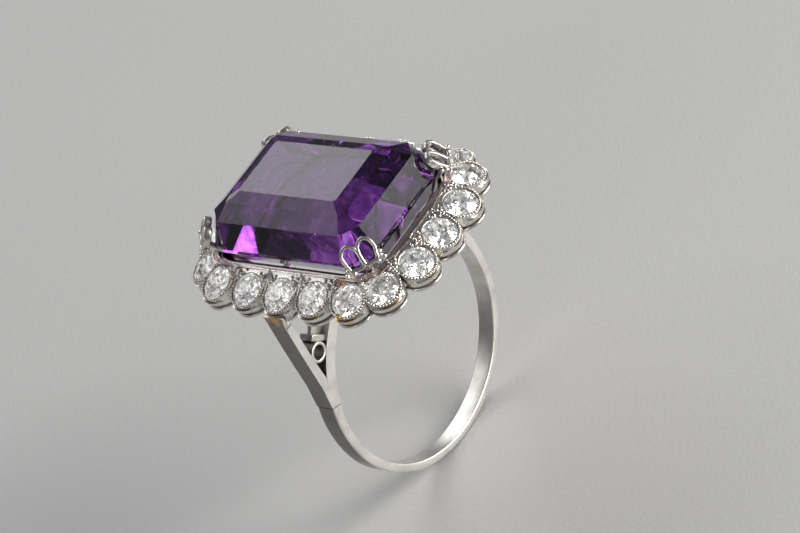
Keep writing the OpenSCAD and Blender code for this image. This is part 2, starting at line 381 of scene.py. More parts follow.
PLATINUM = (0.84, 0.81, 0.765, 1)
PLATINUM_DULL = (0.66, 0.63, 0.59, 1)
# Dark brown for patina and painted shade in corners and hollows.
PATINA_AND_PAINTED_SHADE = (0.10, 0.065, 0.04, 1)
GOLD_SOLDER = (0.72, 0.48, 0.17, 1)
# Painted dark reflection for the sideways faces of the shoulders.
PAINTED_DARK_REFLECTION = (0.16, 0.155, 0.15, 1)
RUST = (0.45, 0.17, 0.05, 1)
# Painted pink and violet reflection of the centre stone in its frame.
FRAME_PINK_REFLECTION = (0.62, 0.49, 0.42, 1)
FRAME_VIOLET_REFLECTION = (0.50, 0.38, 0.46, 1)
FRAME_SHADE = (0.055, 0.025, 0.055, 1)
VIOLET_DEEP = (0.042, 0.008, 0.085, 1)
VIOLET = (0.12, 0.030, 0.20, 1)
VIOLET_PALE = (0.30, 0.09, 0.42, 1)
WHITE = (1.0, 1.0, 1.0, 1)
WARM_WHITE = (0.98, 0.95, 0.91, 1)
# Painted glow of the round stones, faint and bright.
FAINT_PAINTED_GLOW = (0.03, 0.03, 0.03, 1)
BRIGHT_PAINTED_GLOW = (0.48, 0.475, 0.46, 1)
CARD_SHADE = (0.56, 0.557, 0.553, 1)
CARD_LIGHT = (0.62, 0.617, 0.613, 1)

SOLDERED_NECK = (-8.7, 0.0, 11.3)
SOLDERED_RIM = (-8.35, -6.3, 12.1)
RUSTY_APRON = (-5.95, -5.3, 13.1)
LIP_FOOT_Z = BORDER_Z + 0.66


def hairline(bench, where, scale, width):
    """Thin wandering scratches: 1 on a scratch, 0 beside it."""
    field = bench.grain(where, scale, detail=1.5, distortion=0.4)
    return abs(field - 0.5).over(width, 0.0)


def shank_metal():
    """Satin platinum that has been polished round the finger and worn: fine lines, a few deeper scratches,
    cloudy patches, a painted dark reflection on sideways faces outside at the shoulders, patina with
    painted shade in deep corners and yellow solder at one neck."""
    bench = Bench("shank_metal", Metallic=1.0)
    lines = bench.grain(bench.round_place((60, 1.6, 60)), 1.0, detail=2.0)
    scratches = hairline(bench, bench.place((1.2, 5.0, 1.2)), 1.3, 0.012)
    nicks = bench.spots(bench.place(), 2.3).over(0.10, 0.03)
    cloud = bench.grain(bench.place(), 0.55, detail=4.0)
    deep = bench.recess(1.1)
    outside = bench.away_from_finger().over(BORE_R + 0.3, BORE_R + 0.6)
    # Painted dark reflection: faces that look sideways, out from the finger, are darkened.
    painted_dark_side = bench.faces_sideways().over(0.80, 0.99) * outside
    solder = bench.near(SOLDERED_NECK, 1.1) * bench.grain(bench.place(), 1.6).over(0.38, 0.62)
    tone = bench.blend(cloud.over(0.35, 0.70), PLATINUM, PLATINUM_DULL)
    tone = bench.blend(painted_dark_side * 0.85, tone, PAINTED_DARK_REFLECTION)
    # Patina with painted shade: deep corners are darkened nearly to black.
    tone = bench.blend(deep.over(0.2, 0.85) * 0.92, tone, PATINA_AND_PAINTED_SHADE)
    tone = bench.blend(solder * 0.8, tone, GOLD_SOLDER)
    bench.feed(Base_Color=tone,
               Roughness=0.27 + cloud * 0.10 + lines * 0.08 + scratches * 0.12 + deep * 0.2,
               Normal=bench.relief(lines * 0.6 + cloud * 1.0 - scratches - nicks * 1.5, 0.002))
    return bench.material


def gallery_metal():
    """Polished platinum of the claws and rails, with brown patina and painted shade in its corners."""
    bench = Bench("gallery_metal", Metallic=1.0)
    cloud = bench.grain(bench.place(), 0.9, detail=5.0)
    draw = bench.grain(bench.place((9, 1.5, 9)), 1.0, detail=2.0)
    deep = bench.recess(0.7)
    tone = bench.blend(cloud.over(0.3, 0.75), PLATINUM, PLATINUM_DULL)
    # Patina with painted shade: corners are darkened nearly to black.
    tone = bench.blend(deep.over(0.30, 0.85) * (0.7 + cloud * 0.6), tone, PATINA_AND_PAINTED_SHADE)
    bench.feed(Base_Color=tone, Roughness=0.16 + cloud * 0.12 + draw * 0.06 + deep * 0.25,
               Normal=bench.relief(cloud + draw * 0.4, 0.004))
    return bench.material


def frame_metal():
    """The stone's frame: worn platinum tinted warm and violet by a painted reflection of the stone,
    with painted shade nearly black in its corners, and paler on its lip where the painted tint is weaker."""
    bench = Bench("frame_metal", Metallic=1.0)
    cloud = bench.grain(bench.place(), 0.8, detail=5.0)
    dirt_and_shade_noise = bench.grain(bench.place((1, 1, 3)), 3.0, detail=4.0)
    deep = bench.recess(0.8)
    lip = bench.height().over(LIP_FOOT_Z, LIP_FOOT_Z + 0.06)
    # Painted reflection: the base colour is a pink and violet tint of the stone seen in the metal.
    tone = bench.blend(cloud.over(0.3, 0.7), FRAME_PINK_REFLECTION, FRAME_VIOLET_REFLECTION)
    # Painted shade, nearly black in the corners, broken up by the noise.
    tone = bench.blend(deep.over(0.25, 0.65) * (0.75 + dirt_and_shade_noise * 0.4), tone, FRAME_SHADE)
    tone = bench.blend(lip * 0.35, tone, PLATINUM)
    bench.feed(Base_Color=tone, Roughness=0.20 + dirt_and_shade_noise * 0.16 + deep * 0.2,
               Normal=bench.relief(cloud + dirt_and_shade_noise, 0.008))
    return bench.material


def border_metal():
    """Bright-cut platinum of the collets, with tool marks, patina and painted shade in dark lines beside
    the beads, and warm patina. There is solder on one rim and rust on one apron."""
    bench = Bench("border_metal", Metallic=1.0)
    cloud = bench.grain(bench.place(), 1.6, detail=5.0)
    chatter = bench.grain(bench.place(), 7.0, detail=3.0, distortion=0.6)
    deep = bench.recess(0.25)
    warm = bench.grain(bench.place(), 0.35, detail=2.0).over(0.50, 0.66)
    tone = bench.blend(cloud.over(0.35, 0.8), PLATINUM, PLATINUM_DULL)
    # Patina with painted shade: dark lines in the hollows beside the beads.
    tone = bench.blend(deep.over(0.45, 0.95) * 0.95, tone, PATINA_AND_PAINTED_SHADE)
    tone = bench.blend(warm * deep.over(0.1, 0.6) * 0.45, tone, GOLD_SOLDER)
    patchy = bench.grain(bench.place(), 1.8, detail=2.0).over(0.42, 0.54)
    tone = bench.blend(bench.near(SOLDERED_RIM, 1.3) * patchy * 0.9, tone, GOLD_SOLDER)
    tone = bench.blend(bench.near(RUSTY_APRON, 0.8) * 0.75, tone, RUST)
    bench.feed(Base_Color=tone, Roughness=0.14 + chatter * 0.2 + deep * 0.25,
               Normal=bench.relief(chatter + cloud * 1.5, 0.02))
    return bench.material


def amethyst():
    """Deep violet quartz with zones and clouds of colour, a faint haze and fine scuffs."""
    bench = Bench("amethyst", Transmission_Weight=1.0, IOR=1.548)
    zones = bench.grain(bench.place((0.5, 0.25, 1.2)), 0.7, detail=3.0, distortion=0.5)
    clouds = bench.grain(bench.place(), 1.1, detail=4.0, distortion=0.8)
    scuffs = hairline(bench, bench.place((1.0, 1.6, 1.0)), 1.1, 0.010)
    haze = bench.grain(bench.place(), 0.8, detail=4.0)
    tone = bench.blend(zones.over(0.35, 0.65), VIOLET_DEEP, VIOLET)
    tone = bench.blend(clouds.over(0.48, 0.70) * 0.7, tone, VIOLET_PALE)
    bench.feed(Base_Color=tone, Roughness=haze.over(0.55, 0.8) * 0.03 + scuffs * 0.05,
               Normal=bench.relief(haze - scuffs * 0.5, 0.0008))
    return bench.material


def diamond():
    """Old-cut white stones: bright, with a breath of haze and a painted glow of their own in lively
    brighter patches.
    """
    # Painted glow: the stones give off light of their own, brighter in scattered spots.
    bench = Bench("diamond", Transmission_Weight=1.0, IOR=2.417, Emission_Strength=0.55)
    grease = bench.grain(bench.place(), 1.4, detail=4.0)
    tint = bench.grain(bench.place(), 0.22, detail=1.0)
    painted_spots = bench.spots(bench.place(), 2.2).over(0.50, 0.25)
    bench.feed(Base_Color=bench.blend(tint.over(0.4, 0.7), WHITE, WARM_WHITE),
               Roughness=grease.over(0.5, 0.8) * 0.04,
               Emission_Color=bench.blend(painted_spots, FAINT_PAINTED_GLOW, BRIGHT_PAINTED_GLOW),
               Normal=bench.relief(bench.spots(bench.place(), 1.6), 0.02))
    return bench.material


def paper_floor():
    """Matt pale card."""
    bench = Bench("paper_floor")
    fibre = bench.grain(bench.place(), 3.0, detail=6.0)
    cloud = bench.grain(bench.place(), 0.02, detail=2.0)
    bench.feed(Base_Color=bench.blend(cloud, CARD_SHADE, CARD_LIGHT),
               Roughness=0.55 + fibre * 0.2, Normal=bench.relief(fibre, 0.02))
    return bench.material


# ---------------------------------------------------------------- shank and shoulders

def band_outer(angle):
    """Radius of the shank's outside at an angle from +X."""
    lift_across = BAND_LIFT * math.cos(angle)
    return BAND_LIFT * math.sin(angle) + math.sqrt(BAND_OUTER_R ** 2 - lift_across ** 2)


def on_finger(radius, angle, y=0.0):
    """A point at that distance and angle round the finger."""
    return (radius * math.cos(angle), y, radius * math.sin(angle))


def make_shank(metal):
    """The plain hoop from one solder joint round under the finger to the other."""
    edge_r = 0.11
    belly = 0.05
    hand = random.Random(3)
    waves = [(hand.uniform(0.003, 0.009), hand.randint(3, 17), hand.uniform(0, TURN)) for _ in range(6)]
    rings = []
    for angle in arc(math.pi - JOINT_ANGLE + SEAM, TURN + JOINT_ANGLE - SEAM, 220):
        wear = sum(size * math.sin(count * angle + phase) for size, count, phase in waves)
        outer = band_outer(angle) + wear * 0.6
        half_t = (outer - BORE_R) / 2
        middle = (outer + BORE_R) / 2
        half_w = BAND_W / 2 + wear * 0.4
        ring = []
        for a, b in rounded_section(half_t, half_w, edge_r, 4):
            crown = belly * (1 - (b / half_w) ** 2) if a > 0 else 0.0
            ring.append(on_finger(middle + a + crown, angle, b))
        rings.append(ring)
    piece("hoop", loft(rings), metal, ("shank",), smooth=50)


def shoulder_outline():
    """The forked shoulder in the XZ plane: from the solder joint up the outer arm, down to the crotch, up
    the inner arm and back along the finger."""
    start = JOINT_ANGLE + SEAM
    arm_top = BORDER_Z - 0.85
    neck_z = arm_top - 1.0
    bend_rise = 2.1
    crotch_z = 4.72
    inner_x = OUTER_ARM_X - OUTER_ARM_T
    joint_x, _, joint_z = on_finger(band_outer(JOINT_ANGLE) + 0.03, start)
    bend_z = joint_z + bend_rise
    outline = [(joint_x, joint_z)]
    for t in arc(0, 1, 10)[1:]:
        ease = t * t * (3 - 2 * t)
        outline.append((joint_x + (OUTER_ARM_X - joint_x) * ease, joint_z + bend_rise * t))
    for t in arc(0, 1, 12)[1:]:
        outline.append((OUTER_ARM_X + 0.03 * math.sin(t * math.pi), bend_z + (neck_z - bend_z) * t))
    for t in arc(0, 1, 4)[1:]:
        outline.append((OUTER_ARM_X - 0.08 * t * t, neck_z + t))
    for gain, drop in ((0.36, 0.0), (0.30, 0.3), (0.20, 0.65), (0.09, 1.0)):
        outline.append((inner_x + gain, arm_top - drop))
    slot_top, slot_foot = arm_top - 1.4, crotch_z + 0.35
    for t in arc(0, 1, 12):
        outline.append((inner_x - 0.02 - 0.12 * t ** 3, slot_top + (slot_foot - slot_top) * t))
    crotch = math.atan2(crotch_z, math.sqrt(INNER_ARM_R ** 2 - crotch_z ** 2))
    top = math.radians(68)
    for angle in arc(crotch, top, 26):
        x, _, z = on_finger(INNER_ARM_R, angle)
        outline.append((x, z))
    for angle in arc(top, start, 40):
        x, _, z = on_finger(BORE_R, angle)
        outline.append((x, z))
    return outline


def arm_half_width(x, z):
    """The arms widen a little towards the head, and the outer arm spreads to its neck under the collet."""
    widening, widening_foot, widening_top = 0.04, 3, 10
    neck_spread, neck_z, neck_h = 0.11, BORDER_Z - 1.75, 0.9
    rise = (z - widening_foot) / (widening_top - widening_foot)
    base = BAND_W / 2 * (1 + widening * min(max(rise, 0), 1))
    if x < OUTER_ARM_X - OUTER_ARM_T - 0.6:
        return base
    spread = min(max((z - neck_z) / neck_h, 0), 1)
    return base + neck_spread * spread * spread


def make_shoulder(side, name, metal):
    """Both arms of one shoulder, cut from one piece."""
    outline = shoulder_outline()
    rings = []
    for level in (-1, 1):
        rings.append([(x, level * arm_half_width(x, z), z) for x, z in outline])
    shell = mirrored(loft(rings), side)
    piece(f"{name}_shoulder", shell, metal, (f"{name}_inner_arm", f"{name}_outer_arm"),
          smooth=30, edge=0.09, edge_steps=4)


def fork_centre():
    """Centre of the tube in the fork, where it touches both arms."""
    x = OUTER_ARM_X - OUTER_ARM_T - FORK_TUBE_R + SOLDER_LAP
    z = math.sqrt((INNER_ARM_R + FORK_TUBE_R - SOLDER_LAP) ** 2 - x * x)
    return x, z


def make_fork_tube(side, name, metal):
    """A cut end of tube, its rim rounded by wear and not quite round."""
    x, z = fork_centre()
    half = BAND_W / 2 + 0.025
    section = rounded_section(FORK_TUBE_WALL / 2, half, 0.07)
    middle = FORK_TUBE_R - FORK_TUBE_WALL / 2
    path = []
    for t in arc(0, TURN, 48)[:-1]:
        r = middle * (1 + 0.025 * math.cos(2 * t + 0.7))
        path.append((x + r * math.cos(t), 0, z + r * math.sin(t)))
    shell = mirrored(sweep(path, section, (0, 1, 0), wrap=True), side)
    piece(f"{name}_fork_ring", shell, metal, (f"{name}_fork_tube",), smooth=50)


def slab(low, high):
    """A rectangular bar between two corners."""
    corners = [(low[0], low[1]), (high[0], low[1]), (high[0], high[1]), (low[0], high[1])]
    return loft([[(x, y, z) for x, y in corners] for z in (low[2], high[2])])


def make_collar(side, name, metal):
    """The middle collet's wall, drawn down into the neck of the outer arm."""
    middle_x = LONG_X - 0.05
    spread = math.radians(64)
    half_neck = 0.84
    top_z = BORDER_Z - 1.06

    def wall(radius, arm_x, drop, wide):
        """One face of the collar at a level: round like the collet when wide is 1, flat on the arm at 0."""
        line = []
        for t in arc(-1, 1, 14):
            x = middle_x + radius * math.cos(spread * t) - arm_x
            y = radius * math.sin(spread * t) - half_neck * t
            line.append((arm_x + x * wide, half_neck * t + y * wide, top_z - drop))
        return line

    rings = []
    for drop, wide in ((0.0, 1.0), (0.25, 0.72), (0.5, 0.32), (0.8, 0.0)):
        outer = wall(1.40, OUTER_ARM_X - 0.02, drop, wide)
        inner = wall(1.08, OUTER_ARM_X - 0.42, drop, wide)
        rings.append(outer + inner[::-1])
    piece(f"{name}_collar", mirrored(loft(rings), side), metal, smooth=50)


def make_fork_bridge(side, name, metal):
    """The bar across the fork and the upright that stands on the inner arm."""
    x, z = fork_centre()
    angle = math.atan2(z, x)
    turn = Matrix.Translation((x, 0, z)) @ Matrix.Rotation(-angle, 4, "Y")
    low = FORK_TUBE_R - SOLDER_LAP
    bar_half, bar_top = 0.58, low + 0.48
    upright_half, upright_top = 0.17, low + 2.9
    bar = slab((-0.95, -bar_half, low), (0.62, bar_half, bar_top))
    upright = slab((-1.25, -upright_half, bar_top - SOLDER_LAP), (0.32, upright_half, upright_top))
    shell = mirrored(placed(join(bar, upright), turn), side)
    piece(f"{name}_fork_bar", shell, metal, (f"{name}_fork_bridge",),
          smooth=30, edge=0.05)


# ---------------------------------------------------------------- gallery under the head

def cut_rectangle(x, y, cut, z, soft=0.0):
    """A rectangle with cut corners. soft is how far from each corner point its rounding begins."""
    corners = [(x, y - cut), (x - cut, y), (cut - x, y), (-x, y - cut),
               (-x, cut - y), (cut - x, -y), (x - cut, -y), (x, cut - y)]
    if not soft:
        return [(a, b, z) for a, b in corners]
    ring = []
    for k, corner in enumerate(corners):
        here = Vector(corner)
        to_last = (Vector(corners[k - 1]) - here).normalized() * soft
        to_next = (Vector(corners[(k + 1) % 8]) - here).normalized() * soft
        for t in arc(0, 1, 4):
            point = here + to_last * (1 - t) ** 2 + to_next * t ** 2
            ring.append((point.x, point.y, z))
    return ring


def make_finger_rail(metal):
    """The open frame that lies on the finger, bent from one thick wire."""
    half_x, half_y, cut = 3.87, 5.07, 0.95
    low, high = (v / MM for v in (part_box("finger_rail")[0][2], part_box("finger_rail")[1][2]))
    path = cut_rectangle(half_x, half_y, cut, (low + high) / 2, soft=0.4)
    section = rounded_section(0.35, (high - low) / 2, 0.13)
    piece("finger_rail_wire", sweep(path, section, (0, 0, 1), wrap=True), metal,
          ("finger_rail",), smooth=50)


def straight_wire(start, end, radius):
    """A strut, thicker at both ends where the solder has run."""
    foot = 1.35
    start, end = Vector(start), Vector(end)
    side = (end - start).cross(Vector((0, 0, 1))).normalized()
    path = [start.lerp(end, t) for t in arc(0, 1, 16)]
    return sweep(path, round_section(radius, 14), side,
                 scale=lambda t: 1 + (foot - 1) * (abs(2 * t - 1) ** 6))


def make_struts(metal):
    """Two struts under each long side of the head and one under each short side."""
    radius = 0.25
    rail_top = top_of("finger_rail") - 0.05
    head = BORDER_Z + 0.05
    shells = []
    for sx in (-1, 1):
        for sy in (-1, 1):
            foot, top = (sx * 3.85, sy * 2.4, rail_top), (sx * 5.45, sy * 2.7, head)
            shells.append(straight_wire(foot, top, radius))
    for sy in (-1, 1):
        shells.append(straight_wire((0, sy * 5.05, rail_top), (0, sy * 7.7, head), radius))
    piece("gallery_strut_wires", join(*shells), metal, ("gallery_struts",), smooth=50)


def soft_rectangle(x, y, radius, z, steps=12):
    """A rectangle with round corners, by half sizes."""
    ring = []
    for corner, (sx, sy) in enumerate([(1, 1), (-1, 1), (-1, -1), (1, -1)]):
        for t in arc(corner * TURN / 4, (corner + 1) * TURN / 4, steps):
            ring.append((sx * (x - radius) + radius * math.cos(t),
                         sy * (y - radius) + radius * math.sin(t), z))
    return ring


def flat_rectangle(x, y, cut, z, steps=12):
    """A rectangle with straight cut corners, with as many points as a soft one."""
    ring = []
    corners = cut_rectangle(x, y, cut, z)
    for k in range(0, 8, 2):
        start, end = Vector(corners[k]), Vector(corners[k + 1])
        ring += [start.lerp(end, t) for t in arc(0, 1, steps)]
    return ring


def make_stone_frame(metal):
    """The smooth frame round the centre stone: a flange that slopes up from the collets to a thin lip."""
    foot_z = BORDER_Z - 0.10
    rim_z = BORDER_Z + 0.65
    lip_z = GIRDLE_Z - 1.04
    foot = [(4.95, 7.20, 1.6, foot_z), (5.50, 7.84, 2.0, foot_z), (5.86, 8.20, 2.1, rim_z - 0.20)]
    rim = [(5.91, 8.25, 2.1, rim_z - 0.09), (5.90, 8.23, 2.1, rim_z - 0.02), (5.85, 8.18, 2.1, rim_z),
           (5.80, 8.12, 2.1, rim_z - 0.05)]
    lip = [(5.70, 7.92, 2.0, lip_z - 0.06), (5.64, 7.84, 2.0, lip_z + 0.01),
           (5.58, 7.77, 2.0, lip_z + 0.02), (5.52, 7.70, 1.9, lip_z - 0.04)]
    seat = [(4.96, 7.10, 1.6, BORDER_Z + 0.20)]
    rings = [soft_rectangle(x, y, radius, z) for x, y, radius, z in foot + rim + lip + seat]
    piece("stone_frame_wall", loft(rings, wrap=True), metal, ("stone_frame",), smooth=50)


# ---------------------------------------------------------------- border

LONG_X, LONG_STEP, LONG_BOW = 7.4, 3.1, 0.09
SHORT_Y, SHORT_STEP, SHORT_BOW = 9.78, 2.92, 0.12
CORNER_SPOT = (5.62, 8.33)


def border_spots():
    """Centres of the round stones, round the head from the -Y end of its +X side."""
    right = [(LONG_X - LONG_BOW * i * i, i * LONG_STEP) for i in range(-2, 3)]
    back = [(j * SHORT_STEP, SHORT_Y - SHORT_BOW * j * j) for j in (1, 0, -1)]
    half = right + [CORNER_SPOT] + back + [(-CORNER_SPOT[0], CORNER_SPOT[1])]
    return half + [(-x, -y) for x, y in half]


SPOTS = [Vector((x, y, BORDER_Z)) for x, y in border_spots()]


def spot(n):
    """Centre of a round stone; the count goes round again past the last one."""
    return SPOTS[n % BORDER_COUNT]


def outward(n):
    """The direction away from the centre stone at a collet, as an angle from +X."""
    along = spot(n + 1) - spot(n - 1)
    return math.atan2(-along.x, along.y)


def collet_matrix(n):
    """The leaning plane of a collet's rim: x outward and down, z out of the stone's table."""
    return (Matrix.Translation(spot(n)) @ Matrix.Rotation(outward(n), 4, "Z")
            @ Matrix.Rotation(COLLET_LEAN, 4, "Y"))


def collet_edge(n, theta):
    """How far one collet goes in a direction, and what stops it: its rim, a neighbour or the frame."""
    ray = collet_matrix(n).to_3x3() @ Vector((math.cos(theta), math.sin(theta), 0))
    limit, stop = COLLET_R, "rim"
    if math.cos(theta) < 0:
        limit = min(COLLET_R / max(abs(math.sin(theta)), TINY), APRON_L / abs(math.cos(theta)))
        stop = "frame"
    for neighbour in (n - 1, n + 1):
        toward = (spot(neighbour) - spot(n)).normalized()
        closing = ray.dot(toward)
        if closing > TINY:
            distance = (spot(neighbour) - spot(n)).length / 2 / closing
            if distance < limit:
                limit, stop = distance, "next" if neighbour == n + 1 else "last"
    return limit, stop


def collet_floor(n):
    """The level plane that a collet's foot lies in: x outward, z up."""
    return Matrix.Translation(spot(n)) @ Matrix.Rotation(outward(n), 4, "Z")


def collet_shell(n):
    """A cup whose rim leans and whose foot is level, with a square apron towards the stone. The rings run
    up the inside, over the lip and the raised ridge, and down the outside."""
    hole = ROUND_R + 0.012
    half_gap = 0.006
    leaning, level = collet_matrix(n), collet_floor(n)
    angles = arc(0, TURN, 96)[:-1]
    edge = [collet_edge(n, t)[0] - half_gap for t in angles]
    rings = []

    def lean_ring(rule, z):
        """A ring in the rim's plane; rule gives its radius from the distance to the collet's edge."""
        reach = [rule(e) for e in edge]
        rings.append([leaning @ Vector((r * math.cos(t), r * math.sin(t), z))
                      for t, r in zip(angles, reach)])

    def level_ring(radius, inset, z):
        """A level ring, cut off where the collet ends and moved in by inset."""
        reach = [min(e, radius) for e in edge]
        rings.append([level @ Vector((r * math.cos(t) - inset, r * math.sin(t), z))
                      for t, r in zip(angles, reach)])

    level_ring(0.86, 0.26, -COLLET_H + 0.01)
    lean_ring(lambda e: 0.72, -0.84)
    lean_ring(lambda e: hole, -0.07)
    lean_ring(lambda e: hole, 0.03)
    lean_ring(lambda e: hole + 0.03, 0.045)
    lean_ring(lambda e: hole + 0.055, 0.0)
    lean_ring(lambda e: max(e - 0.20, hole + 0.06), -0.04)
    lean_ring(lambda e: max(e - 0.12, hole + 0.08), -0.01)
    lean_ring(lambda e: max(e - 0.06, hole + 0.10), 0.0)
    lean_ring(lambda e: max(e - 0.01, hole + 0.12), -0.02)
    lean_ring(lambda e: min(e, 1.50), -0.10)
    lean_ring(lambda e: min(e, 1.51), -0.22)
    level_ring(1.48, 0.0, -0.72)
    level_ring(1.43, 0.04, -0.98)
    level_ring(1.39, 0.05, -COLLET_H + 0.03)
    level_ring(1.36, 0.05, -COLLET_H)
    return loft(rings, wrap=True)


def bead_line(n):
    """Points along the beaded edge of a collet: its own rim and the line it shares with the next one."""
    matrix = collet_matrix(n)
    rim_inset, height = 0.09, 0.05
    points, last = [], None
    for t in arc(-math.pi, math.pi, 720):
        reach, stop = collet_edge(n, t)
        if stop not in ("rim", "next"):
            continue
        r = reach - (rim_inset if stop == "rim" else 0.0)
        point = matrix @ Vector((r * math.cos(t), r * math.sin(t), height))
        if last is None or (point - last).length >= BEAD_STEP:
            points.append(point)
            last = point
    return points


def make_beads(metal):
    """Rows of small round beads along the collets' edges."""
    shells = []
    for n in range(BORDER_COUNT):
        for point in bead_line(n):
            jitter = Vector([dice.uniform(-0.012, 0.012) for _ in range(3)])
            shells.append(bead(point + jitter, dice.uniform(0.09, 0.104)))
    piece("bead_rows", join(*shells), metal, smooth=80)


def make_corner_grains(metal):
    """Grains raised in the two inner corners of each collet, with smaller ones beside them and towards the
    frame."""
    inner_corner = math.radians(134)
    height, clear = 0.03, 0.05
    cluster = [(0.02, 1.50, 0.17), (0.20, 1.42, 0.10), (-0.19, 1.44, 0.11), (0.03, 1.80, 0.11),
               (0.30, 1.56, 0.09)]
    shells = []
    for n in range(BORDER_COUNT):
        matrix = collet_matrix(n)
        for side in (-1, 1):
            for turn, reach, size in cluster:
                at = side * inner_corner + side * turn + dice.uniform(-0.04, 0.04)
                r = min(reach, collet_edge(n, at)[0] - clear)
                point = Vector((r * math.cos(at), r * math.sin(at), height))
                shells.append(bead(matrix @ point, size * dice.uniform(0.85, 1.12), 0.9))
    piece("setting_grains", join(*shells), metal, smooth=80)


def old_cut(radius, rng):
    """An old round cut: small table, high crown, deep pavilion and an open culet."""
    table_r = radius * rng.uniform(0.46, 0.54)
    crown = 0.38 * rng.uniform(0.92, 1.04)
    star_r = radius * rng.uniform(0.70, 0.75)
    girdle = 0.025
    deep = -0.98
    culet_r = radius * rng.uniform(0.06, 0.10)
    lower_r = radius * rng.uniform(0.48, 0.56)
    half = TURN / 16
    star_z = crown + (star_r * math.cos(half) - table_r) / (radius - table_r) * (girdle - crown)
    lower_z = deep + (lower_r * math.cos(half) - culet_r) / (radius - culet_r) * (-girdle - deep)
    spin = rng.uniform(0, TURN)

    def ring(r, z, count, offset=0.0):
        angles = [spin + offset + TURN * k / count for k in range(count)]
        return [(r * math.cos(t), r * math.sin(t), z) for t in angles]

    verts = (ring(table_r, crown, 8) + ring(star_r, star_z, 8, half) + ring(radius, girdle, 16)
             + ring(radius, -girdle, 16) + ring(lower_r, lower_z, 8, half) + ring(culet_r, deep, 8))
    table, star, upper, under, lower, culet = 0, 8, 16, 32, 48, 56
    faces = [tuple(range(table, table + 8)), tuple(reversed(range(culet, culet + 8)))]
    for k in range(8):
        nxt, last = (k + 1) % 8, (k - 1) % 8
        g, g_half, g_next = 2 * k, 2 * k + 1, (2 * k + 2) % 16
        faces.append((table + k, star + k, table + nxt))
        faces.append((table + k, star + last, upper + g, star + k))
        faces.append((star + k, upper + g, upper + g_half))
        faces.append((star + k, upper + g_half, upper + g_next))
        faces.append((upper + g, under + g, under + g_half, upper + g_half))
        faces.append((upper + g_half, under + g_half, under + g_next, upper + g_next))
        faces.append((lower + k, under + g_half, under + g))
        faces.append((lower + k, under + g_next, under + g_half))
        faces.append((culet + k, lower + k, under + g, lower + last))
        faces.append((culet + k, culet + nxt, lower + k))
    return verts, faces


def make_border(metal, stone):
    """The collets and their round stones, one by one."""
    for n in range(BORDER_COUNT):
        label = f"{n + 1:02d}"
        piece(f"collet_cup_{label}", collet_shell(n), metal, (f"collet_{label}",),
              smooth=38)
        shell = placed(old_cut(ROUND_R, random.Random(40 + n)), collet_matrix(n))
        piece(f"old_cut_{label}", shell, stone, (f"round_stone_{label}",), smooth=0)


def make_lower_rail(metal):
    """A thin rail that follows the scallops just under the collets."""
    radius, inset, reach = 1.2, 0.05, 1.9
    rail_z = BORDER_Z - 1.43

    def ray(angle):
        return Vector((math.cos(angle), math.sin(angle), 0))

    path = []
    centres = [p - inset * ray(outward(n)) for n, p in enumerate(SPOTS)]
    for n, centre in enumerate(centres):
        before, after = centres[n - 1], centres[(n + 1) % BORDER_COUNT]
        for t in arc(-reach, reach, 60):
            point = centre + ray(outward(n) + t) * radius
            if (point - before).length >= radius and (point - after).length >= radius:
                path.append((point.x, point.y, rail_z))
    section = rounded_section(0.17, 0.125, 0.09)
    piece("scalloped_rail", sweep(path, section, (0, 0, 1), wrap=True), metal,
          ("lower_rail",), smooth=60)


# ---------------------------------------------------------------- centre stone and claws

def make_centre_stone(stone):
    """A step cut: table, crown steps with cut corners, a polished girdle with round corners and three
    pavilion steps."""
    flat, soft = flat_rectangle, soft_rectangle
    crown = [(flat, 2.93, 2.86, CORNER_CUT * 0.10, CROWN_H),
             (flat, 2.01, 1.76, CORNER_CUT * 0.22, CROWN_H - 0.38),
             (flat, 0.80, 0.60, CORNER_CUT * 0.60, CROWN_H - 1.15)]
    girdle = [(soft, 0.0, 0.0, CORNER_CUT, 0.0), (soft, 0.0, 0.0, CORNER_CUT, -GIRDLE_T)]
    pavilion = [(soft, 1.1, 1.0, CORNER_CUT * 0.7, -PAVILION_D * 0.42),
                (soft, 2.7, 2.5, CORNER_CUT * 0.4, -PAVILION_D * 0.76),
                (flat, STONE_X - 0.06, STONE_X * 0.9, 0.03, -PAVILION_D)]
    rings = [form(STONE_X - dx, STONE_Y - dy, cut, GIRDLE_Z + z)
             for form, dx, dy, cut, z in crown + girdle + pavilion]
    piece("step_cut_stone", loft(rings), stone, ("centre_stone",), smooth=8.5)


CLAW_FOOT = (5.13, 7.85, GIRDLE_Z - 0.02)
CLAW_TURN = math.radians(52)
CLAW_LEAN = math.radians(33)
CLAW_BEND = (0.10, -0.30)
CLAW_WIRE_R = 0.27


def claw_matrix(sx, sy):
    """Where a claw stands: x away from the stone, z up the claw. The one at -X, -Y has been bent aside."""
    base = math.pi if sx < 0 else 0.0
    bent_x, bent_y = CLAW_BEND if sx < 0 and sy < 0 else (0.0, 0.0)
    foot = (sx * (CLAW_FOOT[0] + bent_x), sy * (CLAW_FOOT[1] + bent_y), CLAW_FOOT[2])
    return (Matrix.Translation(foot) @ Matrix.Rotation(base + sx * sy * CLAW_TURN, 4, "Z")
            @ Matrix.Rotation(-CLAW_LEAN, 4, "Y"))


def claw_loop(side, hand):
    """One open arch of a flat strip, bent by hand: up from the middle, over and down to the foot. x is away
    from the stone, y across, z up."""
    curl, shake = 0.025, 0.025
    outline = [(0.10, 0.0), (0.03, 0.5), (0.05, 0.95), (0.12, 1.30), (0.34, 1.60), (0.62, 1.72),
               (0.92, 1.60), (1.14, 1.26), (1.18, 0.86), (1.10, 0.44), (0.98, 0.05), (0.5, -0.08)]
    points = [(-curl * z * z, side * (y + hand.uniform(-shake, shake)), z + hand.uniform(-shake, shake))
              for y, z in outline]
    return sweep(smooth_path(points), rounded_section(0.13, 0.29, 0.09), (1, 0, 0), wrap=True)


